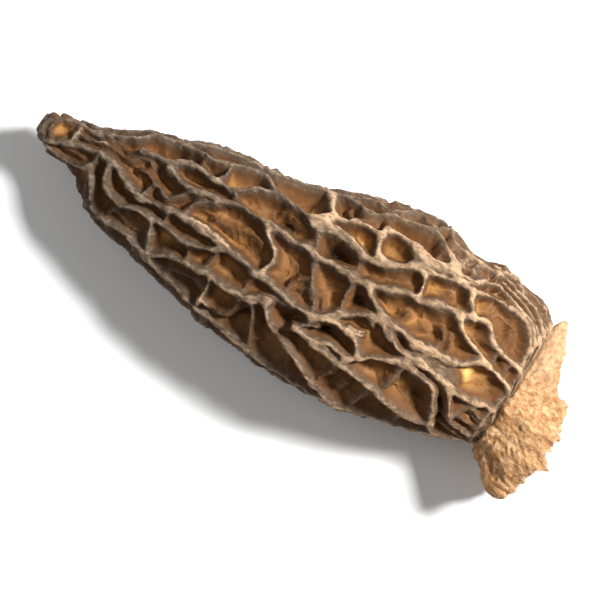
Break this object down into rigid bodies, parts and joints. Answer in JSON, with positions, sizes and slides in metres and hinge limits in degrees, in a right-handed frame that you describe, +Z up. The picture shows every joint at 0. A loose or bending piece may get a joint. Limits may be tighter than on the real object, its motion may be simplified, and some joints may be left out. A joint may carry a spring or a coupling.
{
  "type": "dried black morel",
  "caption": "Dried black morel on its side: a long cone cap with a raised net of ribs round deep pits, and a short torn stem, hollow inside and open at the stem.",
  "frame": {"origin": "on the surface that the morel lies on, under the middle of its outline seen from above", "axes": "+X along the cap from its nose to the torn end of the stem, +Z up from the surface"},
  "size_m": [0.063, 0.0234, 0.0164],
  "materials": {
    "morel": "matte, dry and leathery: grey-brown ribs, amber-brown pits, cream-tan stem"
  },
  "bodies": {
    "root": {"morel": "morel"}
  },
  "joints": []
}
